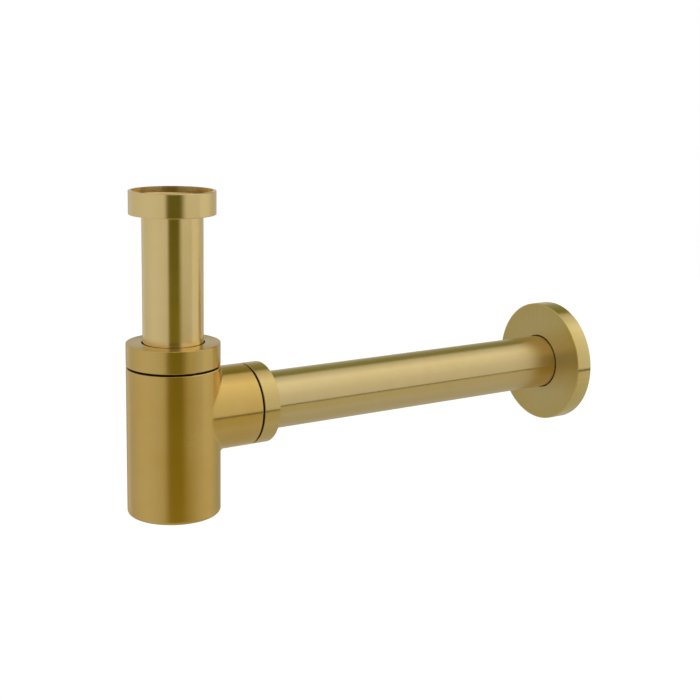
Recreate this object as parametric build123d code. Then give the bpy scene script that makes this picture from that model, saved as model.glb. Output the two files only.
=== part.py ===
from build123d import *
import os

# Round bottle trap for a wash basin, all sizes in millimetres.
# The origin is the centre of the inlet nut's open top, where the basin waste screws in.
# +Z is up along the inlet tube and +X runs along the outlet pipe to the wall.

# Tubes: the inlet tube and the outlet pipe are drawn from the same stock
tube_od = 32.0
tube_wall = 1.0
tube_end_chamfer = 0.3

# Inlet coupling
inlet_nut_wall = 1.745
inlet_nut_height = 12.4
inlet_nut_lip = 2.2
inlet_nut_clearance = 0.5
inlet_thread_step = 1.455
inlet_seat_clearance = 0.3
inlet_washer_inset = 0.25
inlet_washer_width = 3.95
inlet_washer_t = 2.0
tube_flange_t = 1.6
tube_exposed = 67.5

# Bottle and its collar nut
seal_annulus = 4.0
bottle_wall = 2.5
bottle_floor = 2.5
bottle_height = 79.55
bottle_base_round = 2.0
bottle_inner_round = 3.0
shoulder_wall = 2.5
dip_clearance = 14.0
bottle_nut_height = 11.95
bottle_nut_lip = 3.0
bottle_nut_wall = 1.7
bottle_nut_clearance = 0.7
neck_wall = 1.75
inlet_slip_ring_t = 1.2
inlet_seal_head = 1.4
inlet_seal_lip = 1.55
inlet_seat_depth = 1.2

# Branch and its outlet nut
outlet_neck_wall = 2.35
branch_wall = 2.5
branch_reach = 42.15
branch_below_shoulder = 3.6
branch_end_wall = 4.0
branch_saddle_fillet = 2.2
outlet_nut_width = 9.55
outlet_nut_lip = 2.2
outlet_nut_wall = 2.25
outlet_nut_clearance = 0.5
outlet_slip_ring_t = 1.0
outlet_seal_head = 1.0
outlet_seal_lip = 0.55
outlet_seat_depth = 1.4
pipe_guide_clearance = 0.4

# Outlet pipe and wall flange
pipe_insertion = 18.6
pipe_exposed = 202.7
pipe_spigot = 9.0
flange_od = 73.1
flange_depth = 10.3
flange_wall = 1.6
flange_clearance = 0.6
flange_hub_depth = 8.8
flange_hub_wall = 2.2
o_ring_section = 2.3
o_ring_groove_play = 0.4
o_ring_setback = 5.2

# Fits that several pieces share
seam_gap = 1.1
thread_depth = 1.25
thread_clearance = 0.1
seal_clearance = 0.05
slip_ring_clearance = 0.3
edge_round = 0.35
neck_chamfer = 0.4

# Radii of the tubes and what runs on them
tube_r = tube_od / 2
tube_bore_r = tube_r - tube_wall
seal_r = tube_r + seal_clearance
slip_ring_r = tube_r + slip_ring_clearance
thread_room = thread_depth + thread_clearance

# The inlet coupling, stacked outwards from the tube's bore
inlet_washer_bore_r = tube_bore_r + inlet_washer_inset
tube_flange_r = inlet_washer_bore_r + inlet_washer_width
inlet_seat_r = tube_flange_r + inlet_seat_clearance
inlet_thread_r = inlet_seat_r + inlet_thread_step
inlet_nut_r = inlet_thread_r + inlet_nut_wall

# The bottle, stacked outwards from the tube; its nut is flush with it
neck_bore_r = tube_r + seal_annulus
neck_root_r = neck_bore_r + neck_wall
bottle_nut_bore_r = neck_root_r + thread_room
bottle_r = bottle_nut_bore_r + bottle_nut_wall
bottle_bore_r = bottle_r - bottle_wall

# The branch, stacked outwards from the pipe; its nut is flush with it
pipe_guide_r = tube_r + pipe_guide_clearance
outlet_neck_root_r = pipe_guide_r + outlet_neck_wall
outlet_nut_bore_r = outlet_neck_root_r + thread_room
branch_r = outlet_nut_bore_r + outlet_nut_wall
branch_bore_r = branch_r - branch_wall

# The wall flange
flange_r = flange_od / 2
flange_hole_r = tube_r + flange_clearance
groove_r = seal_r + o_ring_section + seal_clearance
flange_hub_r = groove_r + flange_hub_wall

# Heights along Z, from the top of the inlet nut down
inlet_nut_base_z = -inlet_nut_height
tube_seat_z = inlet_nut_base_z + inlet_nut_lip
washer_seat_z = tube_seat_z + tube_flange_t
inlet_thread_z = washer_seat_z + inlet_washer_t
bottle_nut_top_z = inlet_nut_base_z - tube_exposed
bottle_nut_base_z = bottle_nut_top_z - bottle_nut_height
slip_ring_top_z = bottle_nut_top_z - bottle_nut_lip
seal_top_z = slip_ring_top_z - inlet_slip_ring_t
neck_top_z = seal_top_z - inlet_seal_head
shoulder_z = bottle_nut_base_z - seam_gap
bottle_base_z = shoulder_z - bottle_height
floor_z = bottle_base_z + bottle_floor
dip_end_z = floor_z + dip_clearance
branch_z = shoulder_z - branch_below_shoulder - branch_r

# Distances along the branch, from the bottle's axis out to the wall
outlet_nut_start = branch_reach + seam_gap
outlet_nut_end = outlet_nut_start + outlet_nut_width
outlet_ring_end = outlet_nut_end - outlet_nut_lip
outlet_seal_end = outlet_ring_end - outlet_slip_ring_t
outlet_neck_end = outlet_seal_end - outlet_seal_head
pipe_start = outlet_neck_end - pipe_insertion
flange_front = outlet_nut_end + pipe_exposed
flange_back = flange_front + flange_depth
pipe_end = flange_back + pipe_spigot
o_ring_at = flange_front + o_ring_setback

# A piece turned about Z is laid along the branch by turning Z onto X
along_branch = Pos(0, 0, branch_z) * Rot(0, 90, 0)


def turned(outline, rounds=(), chamfers=()):
    """Turn an outline of (radius, height) points about Z, with some of its corners eased."""
    face = make_face(Polyline(*outline, close=True))
    for corner, size in rounds:
        face = fillet(face.vertices().sort_by_distance(corner)[0], size)
    for corner, size in chamfers:
        face = chamfer(face.vertices().sort_by_distance(corner)[0], size)
    return revolve(Plane.XZ * face, Axis.Z)


def flat_ring(inner, outer, low, high):
    """A washer with a square section."""
    return turned([(inner, low), (outer, low), (outer, high), (inner, high)])


def cap_nut(outer, bore, hole, low, high, lip):
    """A plain round nut, open and threaded below, with a lip at the top round the tube."""
    outline = [
        (bore, low),
        (outer, low),
        (outer, high),
        (hole, high),
        (hole, high - lip),
        (bore, high - lip),
    ]
    return turned(outline, rounds=[((outer, low), edge_round), ((outer, high), edge_round)])


def tapered_seal(head_r, lip, neck_end, head):
    """A rubber seal with a flat head, tapering at 45 degrees into the mouth of a neck."""
    tip_r = seal_r + lip
    outline = [
        (seal_r, neck_end - (head_r - tip_r)),
        (tip_r, neck_end - (head_r - tip_r)),
        (head_r, neck_end),
        (head_r, neck_end + head),
        (seal_r, neck_end + head),
    ]
    return turned(outline)


def make_inlet_nut():
    """Coupling nut: threaded mouth, plain seat for washer and flange, lip under the flange."""
    outer = inlet_nut_r
    hole = tube_r + inlet_nut_clearance
    outline = [
        (hole, inlet_nut_base_z),
        (outer, inlet_nut_base_z),
        (outer, 0),
        (inlet_thread_r, 0),
        (inlet_thread_r, inlet_thread_z),
        (inlet_seat_r, inlet_thread_z),
        (inlet_seat_r, tube_seat_z),
        (hole, tube_seat_z),
    ]
    eased = [((outer, inlet_nut_base_z), edge_round), ((outer, 0), edge_round)]
    return turned(outline, rounds=eased)


def make_inlet_tube():
    """Straight tube with a flange at its top; the lower end is the dip tube."""
    outline = [
        (tube_bore_r, dip_end_z),
        (tube_r, dip_end_z),
        (tube_r, tube_seat_z),
        (tube_flange_r, tube_seat_z),
        (tube_flange_r, washer_seat_z),
        (tube_bore_r, washer_seat_z),
    ]
    return turned(outline, chamfers=[((tube_r, dip_end_z), tube_end_chamfer)])


def make_bottle_body():
    """Cup with a threaded neck, a side branch brazed on, and one hollow through both."""
    cup = turned(
        [
            (0, bottle_base_z),
            (bottle_r, bottle_base_z),
            (bottle_r, shoulder_z),
            (neck_root_r, shoulder_z),
            (neck_root_r, neck_top_z),
            (0, neck_top_z),
        ],
        rounds=[((bottle_r, bottle_base_z), bottle_base_round), ((bottle_r, shoulder_z), edge_round)],
        chamfers=[((neck_root_r, neck_top_z), neck_chamfer)],
    )
    branch = along_branch * turned(
        [
            (0, 0),
            (branch_r, 0),
            (branch_r, branch_reach),
            (outlet_neck_root_r, branch_reach),
            (outlet_neck_root_r, outlet_neck_end),
            (0, outlet_neck_end),
        ],
        rounds=[((branch_r, branch_reach), edge_round)],
        chamfers=[((outlet_neck_root_r, outlet_neck_end), neck_chamfer)],
    )
    body = cup + branch
    body = fillet(new_edges(cup, branch, combined=body), branch_saddle_fillet)

    step = bottle_bore_r - neck_bore_r
    hollow = turned(
        [
            (0, floor_z),
            (bottle_bore_r, floor_z),
            (bottle_bore_r, shoulder_z - shoulder_wall),
            (neck_bore_r, shoulder_z - shoulder_wall + step),
            (neck_bore_r, neck_top_z - inlet_seat_depth),
            (neck_bore_r + inlet_seat_depth, neck_top_z),
            (0, neck_top_z),
        ],
        rounds=[((bottle_bore_r, floor_z), bottle_inner_round)],
    )
    way_out = along_branch * turned(
        [
            (0, 0),
            (branch_bore_r, 0),
            (branch_bore_r, branch_reach - branch_end_wall),
            (pipe_guide_r, branch_reach - branch_end_wall),
            (pipe_guide_r, outlet_neck_end - outlet_seat_depth),
            (pipe_guide_r + outlet_seat_depth, outlet_neck_end),
            (0, outlet_neck_end),
        ]
    )
    return body - hollow - way_out


def make_outlet_pipe():
    """Plain pipe from inside the branch, through the flange, into the wall."""
    outline = [
        (tube_bore_r, pipe_start),
        (tube_r, pipe_start),
        (tube_r, pipe_end),
        (tube_bore_r, pipe_end),
    ]
    ends = [((tube_r, pipe_start), tube_end_chamfer), ((tube_r, pipe_end), tube_end_chamfer)]
    return along_branch * turned(outline, chamfers=ends)


def make_wall_flange():
    """Deep round cover, hollow behind, with a hub that holds a rubber ring round the pipe."""
    inner = flange_r - flange_wall
    plate_back = flange_front + flange_wall
    hub_end = flange_front + flange_hub_depth
    half_groove = o_ring_section / 2 + o_ring_groove_play
    outline = [
        (flange_hole_r, flange_front),
        (flange_r, flange_front),
        (flange_r, flange_back),
        (inner, flange_back),
        (inner, plate_back),
        (flange_hub_r, plate_back),
        (flange_hub_r, hub_end),
        (flange_hole_r, hub_end),
        (flange_hole_r, o_ring_at + half_groove),
        (groove_r, o_ring_at + half_groove),
        (groove_r, o_ring_at - half_groove),
        (flange_hole_r, o_ring_at - half_groove),
    ]
    return along_branch * turned(outline, rounds=[((flange_r, flange_front), edge_round)])


def make_flange_o_ring():
    """Rubber ring of round section in the hub's groove."""
    section_r = o_ring_section / 2
    ring = Torus(seal_r + section_r, section_r)
    return along_branch * (Pos(0, 0, o_ring_at) * ring)


pieces = {
    "inlet_nut": make_inlet_nut(),
    "inlet_washer": flat_ring(
        inlet_washer_bore_r, tube_flange_r, washer_seat_z, inlet_thread_z
    ),
    "inlet_tube": make_inlet_tube(),
    "bottle_nut": cap_nut(
        bottle_r,
        bottle_nut_bore_r,
        tube_r + bottle_nut_clearance,
        bottle_nut_base_z,
        bottle_nut_top_z,
        bottle_nut_lip,
    ),
    "inlet_slip_ring": flat_ring(
        slip_ring_r, bottle_nut_bore_r - slip_ring_clearance, seal_top_z, slip_ring_top_z
    ),
    "inlet_seal": tapered_seal(
        neck_bore_r + inlet_seat_depth, inlet_seal_lip, neck_top_z, inlet_seal_head
    ),
    "bottle_body": make_bottle_body(),
    "outlet_nut": along_branch
    * cap_nut(
        branch_r,
        outlet_nut_bore_r,
        tube_r + outlet_nut_clearance,
        outlet_nut_start,
        outlet_nut_end,
        outlet_nut_lip,
    ),
    "outlet_slip_ring": along_branch
    * flat_ring(
        slip_ring_r, outlet_nut_bore_r - slip_ring_clearance, outlet_seal_end, outlet_ring_end
    ),
    "outlet_seal": along_branch
    * tapered_seal(
        pipe_guide_r + outlet_seat_depth, outlet_seal_lip, outlet_neck_end, outlet_seal_head
    ),
    "outlet_pipe": make_outlet_pipe(),
    "wall_flange": make_wall_flange(),
    "flange_o_ring": make_flange_o_ring(),
}

os.makedirs("parts", exist_ok=True)
for name, piece in pieces.items():
    export_step(piece, f"parts/{name}.step")
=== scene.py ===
import math

import bpy
from mathutils import Matrix, Vector


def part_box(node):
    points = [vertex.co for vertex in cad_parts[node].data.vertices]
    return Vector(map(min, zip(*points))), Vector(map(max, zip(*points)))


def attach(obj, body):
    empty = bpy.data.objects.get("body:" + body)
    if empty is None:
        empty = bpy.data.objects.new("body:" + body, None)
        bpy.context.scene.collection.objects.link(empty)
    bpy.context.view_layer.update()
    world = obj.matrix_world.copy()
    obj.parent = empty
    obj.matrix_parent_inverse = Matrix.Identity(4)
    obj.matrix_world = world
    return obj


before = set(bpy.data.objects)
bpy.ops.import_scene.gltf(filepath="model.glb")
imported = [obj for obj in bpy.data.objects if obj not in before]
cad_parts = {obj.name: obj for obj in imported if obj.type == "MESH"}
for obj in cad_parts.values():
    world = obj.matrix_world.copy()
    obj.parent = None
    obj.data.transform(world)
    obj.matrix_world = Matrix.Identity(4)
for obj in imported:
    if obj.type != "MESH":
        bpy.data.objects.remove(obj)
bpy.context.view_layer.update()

# The looks of a brushed-brass bottle trap, in metres, in the frame of the solids:
# +Z up along the inlet tube, +X along the outlet pipe.
MM = 0.001


# Sizes read from the frame

def radius_of(node):
    """Half a turned piece's width across Y."""
    low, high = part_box(node)
    return (high[1] - low[1]) / 2


pipe_low, pipe_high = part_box("outlet_pipe")
BRANCH_Z = (pipe_low[2] + pipe_high[2]) / 2
BOTTLE_R = radius_of("bottle_nut")
BRANCH_R = radius_of("outlet_nut")
PIPE_R = radius_of("outlet_pipe")
FLANGE_R = radius_of("wall_flange")
FLANGE_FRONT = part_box("wall_flange")[0][0]
BOTTLE_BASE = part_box("bottle_body")[0][2]
INLET_NUT_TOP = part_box("inlet_nut")[1][2]
WASHER_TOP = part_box("inlet_washer")[1][2]
NUT_LOW, NUT_HIGH = (corner[2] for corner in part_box("bottle_nut"))
INLET_RING_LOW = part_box("inlet_slip_ring")[0][2]
NECK_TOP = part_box("bottle_body")[1][2]
OUTLET_NUT_START, OUTLET_NUT_END = (corner[0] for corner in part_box("outlet_nut"))
OUTLET_RING_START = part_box("outlet_slip_ring")[0][0]
OUTLET_NECK_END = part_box("bottle_body")[1][0]


# Node helpers

class Graph:
    """A material's or a world's node tree, with short calls for the nodes used here."""

    def __init__(self, owner):
        self.owner = owner
        owner.use_nodes = True
        self.tree = owner.node_tree
        self.tree.nodes.clear()

    def node(self, kind, inputs=None, **settings):
        made = self.tree.nodes.new(kind)
        for key, value in settings.items():
            setattr(made, key, value)
        for key, value in (inputs or {}).items():
            if isinstance(value, bpy.types.NodeSocket):
                self.tree.links.new(value, made.inputs[key])
            else:
                made.inputs[key].default_value = value
        return made

    def place(self):
        """The place on the piece, in the piece's own frame."""
        return self.node("ShaderNodeTexCoord").outputs["Object"]

    def split(self, vector):
        return self.node("ShaderNodeSeparateXYZ", {0: vector}).outputs

    def combine(self, x, y, z):
        return self.node("ShaderNodeCombineXYZ", {0: x, 1: y, 2: z}).outputs[0]

    def grey(self, value):
        return self.combine(value, value, value)

    def math(self, operation, a, b=0.0):
        return self.node("ShaderNodeMath", {0: a, 1: b}, operation=operation).outputs[0]

    def add(self, a, b):
        return self.math("ADD", a, b)

    def subtract(self, a, b):
        return self.math("SUBTRACT", a, b)

    def multiply(self, a, b):
        return self.math("MULTIPLY", a, b)

    def vector(self, operation, a, b=(0.0, 0.0, 0.0)):
        return self.node("ShaderNodeVectorMath", {0: a, 1: b}, operation=operation).outputs[0]

    def noise(self, where, scale, detail=2.0, rough=0.5):
        inputs = {"Vector": where, "Scale": scale, "Detail": detail, "Roughness": rough}
        return self.node("ShaderNodeTexNoise", inputs).outputs["Fac"]

    def bump(self, height, strength, distance):
        inputs = {"Height": height, "Strength": strength, "Distance": distance}
        return self.node("ShaderNodeBump", inputs).outputs["Normal"]

    def ramp(self, value, low, high, out_low=0.0, out_high=1.0, smooth=False):
        kind = "SMOOTHSTEP" if smooth else "LINEAR"
        inputs = {"Value": value, 1: low, 2: high, 3: out_low, 4: out_high}
        return self.node("ShaderNodeMapRange", inputs, interpolation_type=kind).outputs[0]

    def between(self, value, low, high, soft_low, soft_high):
        """One from low to high and nothing outside, with soft ends."""
        up = self.ramp(value, low - soft_low, low + soft_low, smooth=True)
        down = self.ramp(value, high - soft_high, high + soft_high, 1.0, 0.0, smooth=True)
        return self.multiply(up, down)

    def blend(self, factor, a, b):
        """One value changing to another."""
        return self.node("ShaderNodeMix", {0: factor, 2: a, 3: b}, data_type="FLOAT").outputs[0]

    def blend_vector(self, factor, a, b):
        return self.node("ShaderNodeMix", {0: factor, 4: a, 5: b}, data_type="VECTOR").outputs[1]

    def mix(self, factor, a, b):
        """One colour changing to another."""
        return self.node("ShaderNodeMix", {0: factor, 6: a, 7: b}, data_type="RGBA").outputs[2]

    def finish(self, shader, kind="ShaderNodeOutputMaterial"):
        self.node(kind, {"Surface": shader.outputs[0]})
        return self.owner


def new_material(name):
    return Graph(bpy.data.materials.new(name))


# Places on turned pieces

SKIN = 0.9 * MM                  # the brushed outside reaches this far in from a piece's largest radius
SOFT = 0.1 * MM                  # over which brushed brass changes to raw brass
BRANCH_FROM = 0.5 * MM           # outside the bottle's wall, where the branch's brushing starts
BRANCH_SOFT = 0.4 * MM
RIM_FROM = 0.5 * MM              # inside the flange's edge, where its polished rim starts
RIM_TO = 0.2 * MM
ROUND_SLANT = 0.7                # keeps the noise from repeating on the two sides of a piece


def turned_coordinates(graph, axis):
    """Where a place lies on a piece turned about Z or about the branch: along, off and round its spindle."""
    place = graph.place()
    x, y, z = graph.split(place)
    if axis == "Z":
        along = z
        radial = graph.combine(x, y, 0.0)
        spindle = (0.0, 0.0, 1.0)
    else:
        along = x
        radial = graph.combine(0.0, y, graph.subtract(z, BRANCH_Z))
        spindle = (1.0, 0.0, 0.0)
    reach = graph.node("ShaderNodeVectorMath", {0: radial}, operation="LENGTH").outputs["Value"]
    around = graph.vector("NORMALIZE", radial)
    return {
        "along": along,
        "reach": reach,
        "line": graph.add(along, reach),
        "around": around,
        "tangent": graph.vector("CROSS_PRODUCT", spindle, around),
    }


def lathe_noise(graph, turned, per_metre, round_scale, detail):
    """Noise drawn out round the spindle, as fine turning or brushing leaves it."""
    line = graph.multiply(turned["line"], per_metre)
    inputs = {0: turned["around"], "Scale": round_scale}
    around = graph.node("ShaderNodeVectorMath", inputs, operation="SCALE").outputs[0]
    x, y, z = graph.split(around)
    where = graph.combine(line, graph.add(x, y), graph.add(z, graph.multiply(y, ROUND_SLANT)))
    return graph.noise(where, 1.0, detail)


def inside_of(graph, turned, radius, start, end):
    """One on the surfaces nearer to the spindle than the outer skin, between two places along it."""
    near = graph.ramp(turned["reach"], radius - SKIN, radius - SKIN + SOFT, 1.0, 0.0)
    return graph.multiply(near, graph.between(turned["along"], start, end, SOFT, SOFT))


# Brass: its colour with a darker and a paler shade, roughness, how far the brushing draws a reflection out,
# and the depth of the brushed grain
# Each piece's colours are set to how it looks in its place: the inlet tube's and nut's brighter brass is
# painted light, and the bottle's deeper orange is painted inter-reflection.
TUBE_BRASS = {
    "middle": (0.97, 0.745, 0.335, 1.0),
    "dark": (0.95, 0.72, 0.31, 1.0),
    "light": (0.98, 0.765, 0.36, 1.0),
    "rough": 0.22,
    "drawn": 0.75,
    "grain": 0.03,
}
PIPE_BRASS = {
    "middle": (0.81, 0.62, 0.265, 1.0),
    "dark": (0.78, 0.585, 0.235, 1.0),
    "light": (0.83, 0.65, 0.30, 1.0),
    "rough": 0.22,
    "drawn": 0.95,
    "grain": 0.03,
}
COLLAR_BRASS = {
    "middle": (0.79, 0.55, 0.165, 1.0),
    "dark": (0.77, 0.525, 0.145, 1.0),
    "light": (0.80, 0.57, 0.19, 1.0),
    "rough": 0.27,
    "drawn": 0.70,
    "grain": 0.0015,
}
BODY_BRASS = COLLAR_BRASS | {
    "middle": (0.80, 0.54, 0.155, 1.0),
    "dark": (0.78, 0.515, 0.135, 1.0),
    "light": (0.81, 0.56, 0.18, 1.0),
}
OUTLET_NUT_BRASS = COLLAR_BRASS | {
    "middle": (0.82, 0.61, 0.23, 1.0),
    "dark": (0.80, 0.585, 0.205, 1.0),
    "light": (0.83, 0.63, 0.255, 1.0),
    "rough": 0.22,
    "drawn": 0.95,
}
FLANGE_BRASS = {
    "middle": (0.80, 0.61, 0.195, 1.0),
    "dark": (0.78, 0.585, 0.175, 1.0),
    "light": (0.81, 0.625, 0.215, 1.0),
    "rough": 0.42,
    "drawn": 0.9,
    "grain": 0.02,
}
BRANCH_ROUGH = 0.19
RIM_ROUGH = 0.16
FRONT_PAINTED_SHADE = 0.88               # painted shade: the colour of the flange's front, as a share of its rim's
# Raw brass inside the pieces: its roughness is that of the unbrushed metal, and its dark colour is painted
# shade for the hollows and seams.
RAW_BRASS_IN_PAINTED_SHADE = (0.16, 0.105, 0.04, 1.0)
RAW_ROUGH = 0.55
QUARTER_TURN = 0.25              # blurs a reflection across the brushed lines, along the spindle

# Noises of the brushed lines and bands: scale to a metre along the spindle, scale round it, and detail
FINE_LINES = (14000.0, 1.2, 3.0)
BRUSHED_LINES = (5200.0, 0.9, 2.0)
TONE_BANDS = (160.0, 1.6, 3.0)
CLOUDS = (34.0, 3.0, 0.55)       # scale, detail and roughness of the uneven patches
BAND_SPAN = (0.3, 0.7)
PATCH_SPAN = (0.35, 0.8)
LINE_ROUGH_SPAN = (0.25, 0.75)
LINE_ROUGH = 0.002
PATCH_ROUGH_SPAN = (0.3, 0.8)
PATCH_ROUGH = 0.015
FINE_SHARE = 0.5
GRAIN_DEPTH = 0.00001
# Painted highlight: sharp edges, found by their pointiness, are paled towards a light brass colour.
EDGE_SPAN = (0.53, 0.62)
EDGE_HIGHLIGHT_SHARE = 0.5
PAINTED_EDGE_HIGHLIGHT = (0.88, 0.72, 0.42, 1.0)


def brass_tone(graph, turned, brass, clouds, raw):
    """Colour: bands and patches, paler edges as a painted highlight, a painted shade where one is given, and
    raw brass inside darkened with painted shade.
    """
    bands = lathe_noise(graph, turned, *TONE_BANDS)
    tone = graph.mix(graph.ramp(bands, *BAND_SPAN), brass["dark"], brass["middle"])
    tone = graph.mix(graph.ramp(clouds, *PATCH_SPAN), tone, brass["light"])
    pointed = graph.node("ShaderNodeNewGeometry").outputs["Pointiness"]
    # painted highlight on sharp edges
    edge_highlight = graph.multiply(graph.ramp(pointed, *EDGE_SPAN), EDGE_HIGHLIGHT_SHARE)
    tone = graph.mix(edge_highlight, tone, PAINTED_EDGE_HIGHLIGHT)
    # The flange front's painted shade darkens the colour here.
    if "shade" in turned:
        tone = graph.vector("MULTIPLY", tone, graph.grey(turned["shade"]))
    return graph.mix(raw, tone, RAW_BRASS_IN_PAINTED_SHADE)


def brass_rough(graph, turned, brass, lines, clouds, raw):
    """Roughness: that of the finish, varied a little by lines and patches, and that of raw brass inside."""
    by_lines = graph.ramp(lines, *LINE_ROUGH_SPAN, -LINE_ROUGH, LINE_ROUGH)
    by_clouds = graph.ramp(clouds, *PATCH_ROUGH_SPAN, -PATCH_ROUGH, PATCH_ROUGH)
    brushed = graph.add(graph.add(by_lines, by_clouds), turned.get("rough", brass["rough"]))
    return graph.blend(raw, brushed, RAW_ROUGH)


def brushed_brass(name, turned_about, brass, raw_and_shaded_inside):
    """Satin brass brushed round its spindle outside, and left raw and dull inside, where its dark colour is
    painted shade.
    """
    graph = new_material(name)
    turned, raw = turned_about(graph, raw_and_shaded_inside)
    fine = lathe_noise(graph, turned, *FINE_LINES)
    lines = lathe_noise(graph, turned, *BRUSHED_LINES)
    clouds = graph.noise(graph.place(), *CLOUDS)
    height = graph.add(graph.multiply(fine, FINE_SHARE), lines)
    to_world = graph.node(
        "ShaderNodeVectorTransform", {0: turned["tangent"]},
        vector_type="VECTOR", convert_from="OBJECT", convert_to="WORLD",
    ).outputs[0]
    shader = graph.node("ShaderNodeBsdfPrincipled", {
        "Base Color": brass_tone(graph, turned, brass, clouds, raw),
        "Metallic": 1.0,
        "Roughness": brass_rough(graph, turned, brass, lines, clouds, raw),
        "Normal": graph.bump(height, brass["grain"], GRAIN_DEPTH),
        "Anisotropic": brass["drawn"],
        "Anisotropic Rotation": QUARTER_TURN,
        "Tangent": to_world,
    })
    return graph.finish(shader)


def upright(graph, raw_and_shaded_inside):
    """Coordinates of a piece turned about the inlet tube's axis, and where it is raw and darkened with
    painted shade.
    """
    turned = turned_coordinates(graph, "Z")
    return turned, inside_of(graph, turned, *raw_and_shaded_inside)


def level(graph, raw_and_shaded_inside):
    """Coordinates of a piece turned about the outlet pipe's axis, and where it is raw and darkened with
    painted shade.
    """
    turned = turned_coordinates(graph, "X")
    return turned, inside_of(graph, turned, *raw_and_shaded_inside)


def bottle_and_branch(graph, raw_and_shaded_inside):
    """Coordinates of the bottle, which change over to the branch's outside the bottle's wall."""
    bottle = turned_coordinates(graph, "Z")
    branch = turned_coordinates(graph, "X")
    edge = BOTTLE_R + BRANCH_FROM
    on_branch = graph.ramp(bottle["reach"], edge, edge + BRANCH_SOFT)
    turned = {
        "line": graph.blend(on_branch, bottle["line"], branch["line"]),
        "around": graph.blend_vector(on_branch, bottle["around"], branch["around"]),
        "tangent": graph.blend_vector(on_branch, bottle["tangent"], branch["tangent"]),
        "rough": graph.blend(on_branch, BODY_BRASS["rough"], BRANCH_ROUGH),
    }
    in_bottle, in_branch = raw_and_shaded_inside
    raw_and_shaded_bottle = inside_of(graph, bottle, *in_bottle)
    raw_and_shaded_branch = inside_of(graph, branch, *in_branch)
    return turned, graph.blend(on_branch, raw_and_shaded_bottle, raw_and_shaded_branch)


def flange_and_rim(graph, raw_and_shaded_inside):
    """Coordinates of the wall flange, whose rim is polished finer than its front, and whose front is darkened
    with a painted shade.
    """
    turned, raw = level(graph, raw_and_shaded_inside)
    on_rim = graph.ramp(turned["reach"], FLANGE_R - RIM_FROM, FLANGE_R - RIM_TO)
    turned["rough"] = graph.blend(on_rim, FLANGE_BRASS["rough"], RIM_ROUGH)
    # Painted shade: the front's colour is darkened against the rim's.
    turned["shade"] = graph.blend(on_rim, FRONT_PAINTED_SHADE, 1.0)
    return turned, raw


# Rubber and nylon: noises as scale, detail and roughness, bumps as strength and depth
RUBBER_GRAIN = (2600.0, 3.0)
RUBBER_BLOOM = (90.0, 4.0)
RUBBER_BLOOM_SPAN = (0.4, 0.8)
RUBBER_BLACK = (0.012, 0.012, 0.012, 1.0)
RUBBER_DUSTY = (0.05, 0.048, 0.045, 1.0)
RUBBER_ROUGH_SPAN = (0.3, 0.7)
RUBBER_ROUGH = (0.55, 0.75)
RUBBER_BUMP = (0.3, 0.00005)
RUBBER_SPECULAR = 0.35
NYLON_FLOW = (160.0, 4.0, 0.6)
NYLON_GRAIN = (3000.0, 2.0)
NYLON_DARK = (0.72, 0.69, 0.60, 1.0)
NYLON_LIGHT = (0.84, 0.82, 0.75, 1.0)
NYLON_ROUGH_SPAN = (0.2, 0.8)
NYLON_ROUGH = (0.35, 0.5)
NYLON_BUMP = (0.15, 0.00003)


def black_rubber():
    """Matt black rubber with a fine moulded grain and a dusty bloom."""
    graph = new_material("black_rubber")
    place = graph.place()
    grain = graph.noise(place, *RUBBER_GRAIN)
    bloom = graph.noise(place, *RUBBER_BLOOM)
    shader = graph.node("ShaderNodeBsdfPrincipled", {
        "Base Color": graph.mix(graph.ramp(bloom, *RUBBER_BLOOM_SPAN), RUBBER_BLACK, RUBBER_DUSTY),
        "Roughness": graph.ramp(grain, *RUBBER_ROUGH_SPAN, *RUBBER_ROUGH),
        "Normal": graph.bump(grain, *RUBBER_BUMP),
        "Specular IOR Level": RUBBER_SPECULAR,
    })
    return graph.finish(shader)


def white_nylon():
    """Off-white nylon with faint flow marks."""
    graph = new_material("white_nylon")
    place = graph.place()
    flow = graph.noise(place, *NYLON_FLOW)
    grain = graph.noise(place, *NYLON_GRAIN)
    shader = graph.node("ShaderNodeBsdfPrincipled", {
        "Base Color": graph.mix(flow, NYLON_DARK, NYLON_LIGHT),
        "Roughness": graph.ramp(flow, *NYLON_ROUGH_SPAN, *NYLON_ROUGH),
        "Normal": graph.bump(grain, *NYLON_BUMP),
    })
    return graph.finish(shader)


# Finish of the solids. Where a piece is raw inside, with painted shade darkening it there: its outer radius,
# and a start and end along its spindle.

FAR = 1.0                        # beyond either end of every piece
END_WALL = 1.0 * MM              # the brushed part of an end face reaches this far in
NOT_RAW_OR_SHADED = (0.0, -FAR, FAR)
TUBE_INSIDE = (PIPE_R, -FAR, FAR)
COLLAR_INSIDE = (BOTTLE_R, -FAR, NUT_HIGH - END_WALL)
BODY_INSIDE = ((BOTTLE_R, BOTTLE_BASE + END_WALL, FAR), (BRANCH_R, -FAR, FAR))
OUTLET_NUT_INSIDE = (BRANCH_R, -FAR, OUTLET_NUT_END - END_WALL)
FLANGE_INSIDE = (FLANGE_R, FLANGE_FRONT + END_WALL, FAR)

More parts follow.
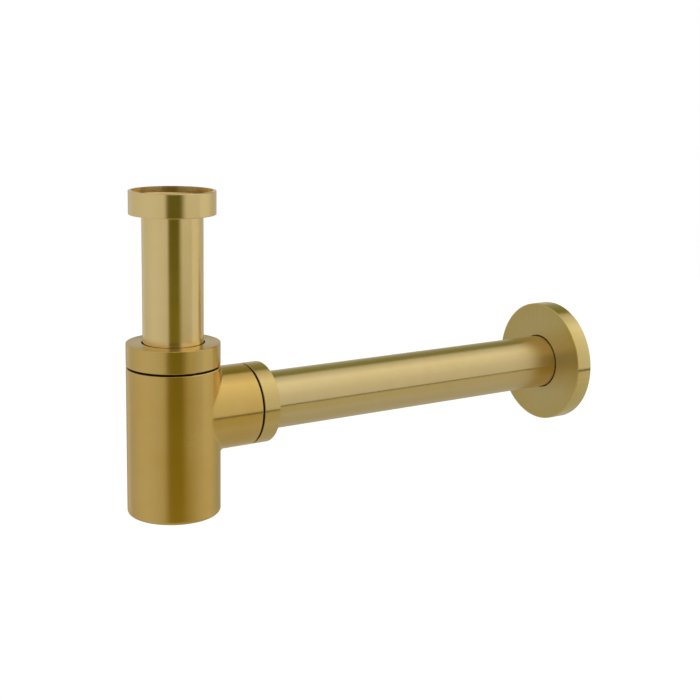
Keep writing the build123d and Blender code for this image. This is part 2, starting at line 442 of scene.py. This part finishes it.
rubber = black_rubber()
nylon = white_nylon()
FINISH = {
    "inlet_nut": brushed_brass("inlet_nut", upright, TUBE_BRASS, NOT_RAW_OR_SHADED),
    "inlet_tube": brushed_brass("inlet_tube", upright, TUBE_BRASS, TUBE_INSIDE),
    "bottle_nut": brushed_brass("bottle_nut", upright, COLLAR_BRASS, COLLAR_INSIDE),
    "bottle_body": brushed_brass("bottle_body", bottle_and_branch, BODY_BRASS, BODY_INSIDE),
    "outlet_nut": brushed_brass("outlet_nut", level, OUTLET_NUT_BRASS, OUTLET_NUT_INSIDE),
    "outlet_pipe": brushed_brass("outlet_pipe", level, PIPE_BRASS, TUBE_INSIDE),
    "wall_flange": brushed_brass("wall_flange", flange_and_rim, FLANGE_BRASS, FLANGE_INSIDE),
    "inlet_washer": rubber,
    "inlet_seal": rubber,
    "outlet_seal": rubber,
    "flange_o_ring": rubber,
    "inlet_slip_ring": nylon,
    "outlet_slip_ring": nylon,
}
for node, material in FINISH.items():
    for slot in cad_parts[node].material_slots:
        slot.material = material


# Threads: pitch, and root and crest radii. The solids have a plain cylinder at each root.

INLET_PITCH = 2.309 * MM
INLET_RADII = (20.955 * MM, 19.5 * MM)
INLET_LEAD = 2.3 * MM            # the plain part at the nut's mouth
INLET_EASE = 0.42 * INLET_PITCH  # from the washer to the thread
NUT_PITCH = 2.0 * MM
COLLAR_RADII = (23.1 * MM, 21.95 * MM)
NECK_RADII = (21.75 * MM, 22.9 * MM)
OUTLET_NUT_RADII = (20.1 * MM, 18.95 * MM)
OUTLET_NECK_RADII = (18.75 * MM, 19.9 * MM)
NUT_EASE = 0.30 * NUT_PITCH      # from either end of a threaded wall to the thread
HALF_TURN = 0.5                  # a nut's ridge lies in the middle of its neck's groove
SEAM = 1.1 * MM                  # between a nut and the shoulder under it

# Section of a ridge: half the width at its foot and at its tip, as shares of the pitch
FOOT_SHARE = 0.27
INLET_FOOT_SHARE = 0.417
TIP_SHARE = 0.085
THREAD_SINK = 0.05 * MM          # a ridge's foot goes this far into its wall
THREAD_STEPS = 120               # to a turn
FADE_TURNS = 0.4                 # over which a ridge rises at its start and falls at its end
LEAST_RISE = 0.02
SHARP_ANGLE = math.radians(35)
SECTION_CORNERS = 4

# Brass of the threads: colours, the noise of its stains (scale and detail), and its least roughness; the dark
# colours of the threads in the seams are painted shade
STAINED_BRASS_IN_PAINTED_SHADE = (0.24, 0.165, 0.07, 1.0)
CUT_BRASS = (0.95, 0.78, 0.40, 1.0)
CLEAN_BRASS = (0.98, 0.84, 0.48, 1.0)
STAIN = (420.0, 4.0)
STAIN_SPAN = (0.3, 0.7)
CUT_ROUGH = 0.45


def thread_brass(name, dark, light):
    """Brass as a thread is cut: not brushed, and uneven in colour and roughness."""
    graph = new_material(name)
    stain = graph.noise(graph.place(), *STAIN)
    shader = graph.node("ShaderNodeBsdfPrincipled", {
        "Base Color": graph.mix(stain, dark, light),
        "Metallic": 1.0,
        "Roughness": graph.ramp(stain, *STAIN_SPAN, CUT_ROUGH, RAW_ROUGH),
    })
    return graph.finish(shader)


def ridge_corners(radii, pitch, foot_share, start, end, phase):
    """Corners of a right-hand helical ridge's section, one section after another along Z."""
    root, crest = radii
    side = 1.0 if crest > root else -1.0
    base = root - side * THREAD_SINK
    foot = foot_share * pitch
    tip = TIP_SHARE * pitch
    turns = (end - start) / pitch
    corners = []
    for step in range(int(turns * THREAD_STEPS) + 1):
        turn = step / THREAD_STEPS
        fade = min(1.0, turn / FADE_TURNS, (turns - turn) / FADE_TURNS)
        top = base + (crest - base) * max(fade, LEAST_RISE)
        angle = 2 * math.pi * (turn + phase + start / pitch)
        height = start + turn * pitch
        for radius, shift in ((base, -foot), (top, -tip), (top, tip), (base, foot)):
            corners.append(Vector((radius * math.cos(angle), radius * math.sin(angle), height + shift)))
    return corners


def ridge_faces(sections, outward):
    """Faces between one section and the next, and one at either end."""
    faces = []
    for section in range(sections - 1):
        here = SECTION_CORNERS * section
        beyond = here + SECTION_CORNERS
        for corner in range(SECTION_CORNERS):
            following = (corner + 1) % SECTION_CORNERS
            faces.append((here + corner, here + following, beyond + following, beyond + corner))
    last = SECTION_CORNERS * (sections - 1)
    faces.append((3, 2, 1, 0))
    faces.append((last, last + 1, last + 2, last + 3))
    return faces if outward else [face[::-1] for face in faces]


def thread(name, body, material, lay, radii, pitch, start, end, phase=0.0, foot_share=FOOT_SHARE):
    """A ridge between two places along its spindle, standing from its root towards its crest."""
    corners = ridge_corners(radii, pitch, foot_share, start, end, phase)
    faces = ridge_faces(len(corners) // SECTION_CORNERS, radii[1] > radii[0])
    mesh = bpy.data.meshes.new(name)
    mesh.from_pydata([lay @ corner for corner in corners], [], faces)
    mesh.update()
    mesh.shade_smooth()
    mesh.set_sharp_from_angle(angle=SHARP_ANGLE)
    mesh.materials.append(material)
    piece = bpy.data.objects.new(name, mesh)
    bpy.context.collection.objects.link(piece)
    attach(piece, body)


# Painted shade: the threads inside the seams get dark brass, raw and stained, to stand for the shade in the
# gaps; the nut's mouth thread stays bright cut brass.
raw_brass = thread_brass("raw_brass", RAW_BRASS_IN_PAINTED_SHADE, STAINED_BRASS_IN_PAINTED_SHADE)
cut_brass = thread_brass("cut_brass", CUT_BRASS, CLEAN_BRASS)
UPRIGHT = Matrix.Identity(4)
ALONG_BRANCH = Matrix.Translation((0, 0, BRANCH_Z)) @ Matrix.Rotation(math.radians(90), 4, "Y")

thread(
    "inlet_nut_thread", "inlet_nut", cut_brass, UPRIGHT, INLET_RADII, INLET_PITCH,
    start=WASHER_TOP + INLET_EASE, end=INLET_NUT_TOP - INLET_LEAD, foot_share=INLET_FOOT_SHARE,
)
thread(
    "neck_thread", "bottle", raw_brass, UPRIGHT, NECK_RADII, NUT_PITCH,
    start=NUT_LOW - SEAM + NUT_EASE, end=NECK_TOP - NUT_EASE,
)
thread(
    "bottle_nut_thread", "bottle_nut", raw_brass, UPRIGHT, COLLAR_RADII, NUT_PITCH,
    start=NUT_LOW + NUT_EASE, end=INLET_RING_LOW - NUT_EASE, phase=HALF_TURN,
)
thread(
    "outlet_neck_thread", "bottle", raw_brass, ALONG_BRANCH, OUTLET_NECK_RADII, NUT_PITCH,
    start=OUTLET_NUT_START - SEAM + NUT_EASE, end=OUTLET_NECK_END - NUT_EASE,
)
thread(
    "outlet_nut_thread", "outlet_nut", raw_brass, ALONG_BRANCH, OUTLET_NUT_RADII, NUT_PITCH,
    start=OUTLET_NUT_START + NUT_EASE, end=OUTLET_RING_START - NUT_EASE, phase=HALF_TURN,
)


# Floor

WHITE = (1.0, 1.0, 1.0, 1.0)
FLOOR_Z = -0.42
FLOOR_R = 2.5
FLOOR_STEPS = 96
FLOOR_GLOW = 0.55
FLOOR_ROUGH = 0.8
FLOOR_PATCHES = (6.0, 3.0)       # scale and detail
FLOOR_DARK = (0.88, 0.88, 0.875, 1.0)
FLOOR_LIGHT = (0.90, 0.90, 0.895, 1.0)


def floor_paint():
    graph = new_material("floor_paint")
    patches = graph.noise(graph.place(), *FLOOR_PATCHES)
    shader = graph.node("ShaderNodeBsdfPrincipled", {
        "Base Color": graph.mix(patches, FLOOR_DARK, FLOOR_LIGHT),
        "Roughness": FLOOR_ROUGH,
        "Emission Color": WHITE,
        "Emission Strength": FLOOR_GLOW,
    })
    return graph.finish(shader)


def pale_floor():
    """A wide round white floor that glows a little, well under the trap, and isn't seen in the brass."""
    ring = []
    for step in range(FLOOR_STEPS):
        angle = 2 * math.pi * step / FLOOR_STEPS
        ring.append((FLOOR_R * math.cos(angle), FLOOR_R * math.sin(angle), FLOOR_Z))
    mesh = bpy.data.meshes.new("floor")
    mesh.from_pydata(ring, [], [tuple(range(FLOOR_STEPS))])
    mesh.materials.append(floor_paint())
    floor = bpy.data.objects.new("floor", mesh)
    bpy.context.collection.objects.link(floor)
    floor.visible_glossy = False


# Light tent: light is a share of full white, and angles are in degrees. Azimuth and elevation are those of
# direction() below. Around is the angle about the outlet pipe's axis, from the front (0) over the top (90) to
# the back (180). A span is where a change starts and ends. A band is its two ends and how soft each is.
DEGREE = 180 / math.pi
SIDES_MEET = (-30.0, -24.0)              # azimuth

RIGHT_PAPER_SPAN = (-14.0, 74.0)         # around
RIGHT_PAPER_CURVE = 1.5
RIGHT_PAPER = (0.605, 0.87)
CEILING_SPAN = (74.0, 112.0)             # around
CEILING_FALL = 0.36
RIGHT_TABLE_SPAN = (-60.0, -20.0)        # elevation
RIGHT_TABLE = (0.425, 0.53)
TABLE_RIM_SPAN = (-15.0, -12.0)          # elevation
TABLE_RIM_GAIN = 0.07
FAR_RIGHT_AZIMUTH = (76.0, 106.0)
FAR_RIGHT_ELEVATION = (-32.0, -20.0)
FAR_RIGHT_LOSS = 0.14
RIGHT_UNDER_SPAN = (-15.0, -14.0)        # around
RIGHT_TABLE_TINT = (1.0, 0.985, 0.90, 1.0)

LEFT_PAPER_SPAN = (-145.0, -95.0)        # azimuth
LEFT_PAPER = (0.555, 0.60)
LEFT_FALL_SPAN = (-12.0, -5.0)           # elevation
LEFT_FALL = (0.03, -0.04)
LEFT_TABLE_SPAN = (-150.0, -110.0)       # azimuth
LEFT_TABLE = (0.44, 0.55)
BY_SLOT_SPAN = (-95.0, -60.0)            # azimuth
BY_SLOT_LOSS = 0.075
LEFT_BACK_SPAN = (-168.0, -150.0)        # azimuth
LEFT_BACK_GAIN = 0.12
LEFT_UNDER_SPAN = (-12.0, -10.5)         # elevation
LEFT_TABLE_TINT = (1.0, 1.0, 1.05, 1.0)

SLOT_HEIGHT_BAND = (-42.0, 34.0, 8.0, 8.0)
SLOT_BAND = (-42.0, 2.5, 6.0, 10.0)      # azimuth
IMAGE_BAND = (-49.0, 27.0, 19.0, 19.0)   # azimuth
IMAGE_STRENGTH = 0.98
IMAGE_SPAN = (-17.0, -12.5)              # elevation
IMAGE_SHADE_SPAN = (-17.0, -12.0)        # elevation
SLOT_SHADE = (0.06, 0.06, 0.012, 1.0)
IMAGE_SHADE = (0.34, 0.275, 0.0, 1.0)

TABLE_EDGE_BAND = (-16.9, -12.7, 0.4, 0.4)      # around
TABLE_EDGE_AZIMUTH = (2.0, 50.0, 4.0, 4.0)
TABLE_EDGE_SHADE = (0.05, 0.04, 0.0, 1.0)
GAP_BAND = (112.0, 160.0, 1.5, 6.0)      # around
GAP_SIDE = (-0.2, 0.1)                   # share of the direction that points along +X
GAP_FADE_SPAN = (122.0, 160.0)           # around
GAP_FADE = (0.92, 0.48)
GAP_SHADE = (0.17, 0.18, 0.02, 1.0)


def direction(azimuth, elevation):
    """Unit vector from the object towards a place seen at this azimuth and elevation."""
    a = math.radians(azimuth)
    e = math.radians(elevation)
    return Vector((math.sin(a) * math.cos(e), -math.cos(a) * math.cos(e), math.sin(e)))


def right_side(graph, azimuth, elevation, around):
    """Light of the paper and of the table on the right, and where the table is."""
    rise = graph.math("POWER", graph.ramp(around, *RIGHT_PAPER_SPAN), RIGHT_PAPER_CURVE)
    paper = graph.ramp(rise, 0.0, 1.0, *RIGHT_PAPER)
    paper = graph.subtract(paper, graph.ramp(around, *CEILING_SPAN, 0.0, CEILING_FALL))
    table = graph.ramp(elevation, *RIGHT_TABLE_SPAN, *RIGHT_TABLE)
    table = graph.add(table, graph.ramp(elevation, *TABLE_RIM_SPAN, 0.0, TABLE_RIM_GAIN))
    far = graph.multiply(
        graph.ramp(azimuth, *FAR_RIGHT_AZIMUTH),
        graph.ramp(elevation, *FAR_RIGHT_ELEVATION),
    )
    table = graph.subtract(table, graph.multiply(far, FAR_RIGHT_LOSS))
    return paper, table, graph.ramp(around, *RIGHT_UNDER_SPAN, 1.0, 0.0)


def left_side(graph, azimuth, elevation):
    """Light of the paper and of the table on the left, and where the table is."""
    paper = graph.ramp(azimuth, *LEFT_PAPER_SPAN, *LEFT_PAPER)
    paper = graph.add(paper, graph.ramp(elevation, *LEFT_FALL_SPAN, *LEFT_FALL))
    table = graph.ramp(azimuth, *LEFT_TABLE_SPAN, *LEFT_TABLE)
    table = graph.subtract(table, graph.ramp(azimuth, *BY_SLOT_SPAN, 0.0, BY_SLOT_LOSS))
    table = graph.add(table, graph.ramp(azimuth, *LEFT_BACK_SPAN, LEFT_BACK_GAIN, 0.0))
    return paper, table, graph.ramp(elevation, *LEFT_UNDER_SPAN, 1.0, 0.0)


def paper_and_table(graph, azimuth, elevation, around):
    """Light of the white paper, and of the tinted table under it."""
    on_right = graph.ramp(azimuth, *SIDES_MEET)
    left = left_side(graph, azimuth, elevation)
    right = right_side(graph, azimuth, elevation, around)
    paper, table, under = (graph.blend(on_right, *pair) for pair in zip(left, right))
    white = graph.grey(graph.blend(under, paper, table))
    tint = graph.mix(on_right, LEFT_TABLE_TINT, RIGHT_TABLE_TINT)
    return graph.mix(under, white, graph.vector("MULTIPLY", white, tint))


def with_slot(graph, light, azimuth, elevation):
    """The light with the camera's dark slot, and the slot's paler and wider image in the table."""
    heights = graph.between(elevation, *SLOT_HEIGHT_BAND)
    slot = graph.multiply(graph.between(azimuth, *SLOT_BAND), heights)
    image = graph.multiply(graph.between(azimuth, *IMAGE_BAND), heights)
    low = graph.ramp(elevation, *IMAGE_SPAN, 1.0, 0.0)
    dark = graph.blend(low, slot, graph.multiply(image, IMAGE_STRENGTH))
    shade = graph.mix(graph.ramp(elevation, *IMAGE_SHADE_SPAN, 1.0, 0.0), SLOT_SHADE, IMAGE_SHADE)
    return graph.mix(dark, light, shade)


def with_table_edge(graph, light, azimuth, around):
    """The light with the table's thin dark edge on the right."""
    sideways = graph.between(azimuth, *TABLE_EDGE_AZIMUTH)
    edge = graph.multiply(graph.between(around, *TABLE_EDGE_BAND), sideways)
    return graph.mix(edge, light, TABLE_EDGE_SHADE)


def with_gap(graph, light, along_x, around):
    """The light with the dark gap behind the ceiling."""
    gap = graph.multiply(graph.between(around, *GAP_BAND), graph.ramp(along_x, *GAP_SIDE))
    gap = graph.multiply(gap, graph.ramp(around, *GAP_FADE_SPAN, *GAP_FADE))
    return graph.mix(gap, light, GAP_SHADE)


def light_tent():
    """A paper tent over a table. It gives nearly all the light, and the camera sees plain white."""
    world = bpy.data.worlds.new("light_tent")
    bpy.context.scene.world = world
    graph = Graph(world)
    towards = graph.node("ShaderNodeTexCoord").outputs["Generated"]
    x, y, z = graph.split(towards)
    front = graph.multiply(y, -1.0)
    azimuth = graph.multiply(graph.math("ARCTAN2", x, front), DEGREE)
    elevation = graph.multiply(graph.math("ARCSINE", z), DEGREE)
    around = graph.multiply(graph.math("ARCTAN2", z, front), DEGREE)

    light = paper_and_table(graph, azimuth, elevation, around)
    light = with_slot(graph, light, azimuth, elevation)
    light = with_table_edge(graph, light, azimuth, around)
    light = with_gap(graph, light, x, around)
    seen = graph.node("ShaderNodeLightPath").outputs["Is Camera Ray"]
    backdrop = graph.mix(seen, light, WHITE)
    graph.finish(graph.node("ShaderNodeBackground", {"Color": backdrop}), "ShaderNodeOutputWorld")


pale_floor()
light_tent()


# Camera, fitted to the photograph: place, direction, roll, focal length and frame shift

CAMERA_AT = (-0.3053, -0.6246, 0.0699)
CAMERA_AZIMUTH = -33.778
CAMERA_ELEVATION = 10.062
CAMERA_ROLL = 0.995
CAMERA_LENS = 68.98
CAMERA_SENSOR = 36.0
CAMERA_SHIFT = (-0.003, -0.081)
CAMERA_CLIP = 0.01

camera = bpy.data.cameras.new("camera")
camera.sensor_width = CAMERA_SENSOR
camera.lens = CAMERA_LENS
camera.shift_x, camera.shift_y = CAMERA_SHIFT
camera.clip_start = CAMERA_CLIP
viewer = bpy.data.objects.new("camera", camera)
bpy.context.collection.objects.link(viewer)
aim = direction(CAMERA_AZIMUTH, CAMERA_ELEVATION).to_track_quat("Z", "Y").to_matrix().to_4x4()
roll = Matrix.Rotation(math.radians(CAMERA_ROLL), 4, "Z")
viewer.matrix_world = Matrix.Translation(CAMERA_AT) @ aim @ roll
bpy.context.scene.camera = viewer
bpy.context.scene.view_settings.view_transform = "Standard"
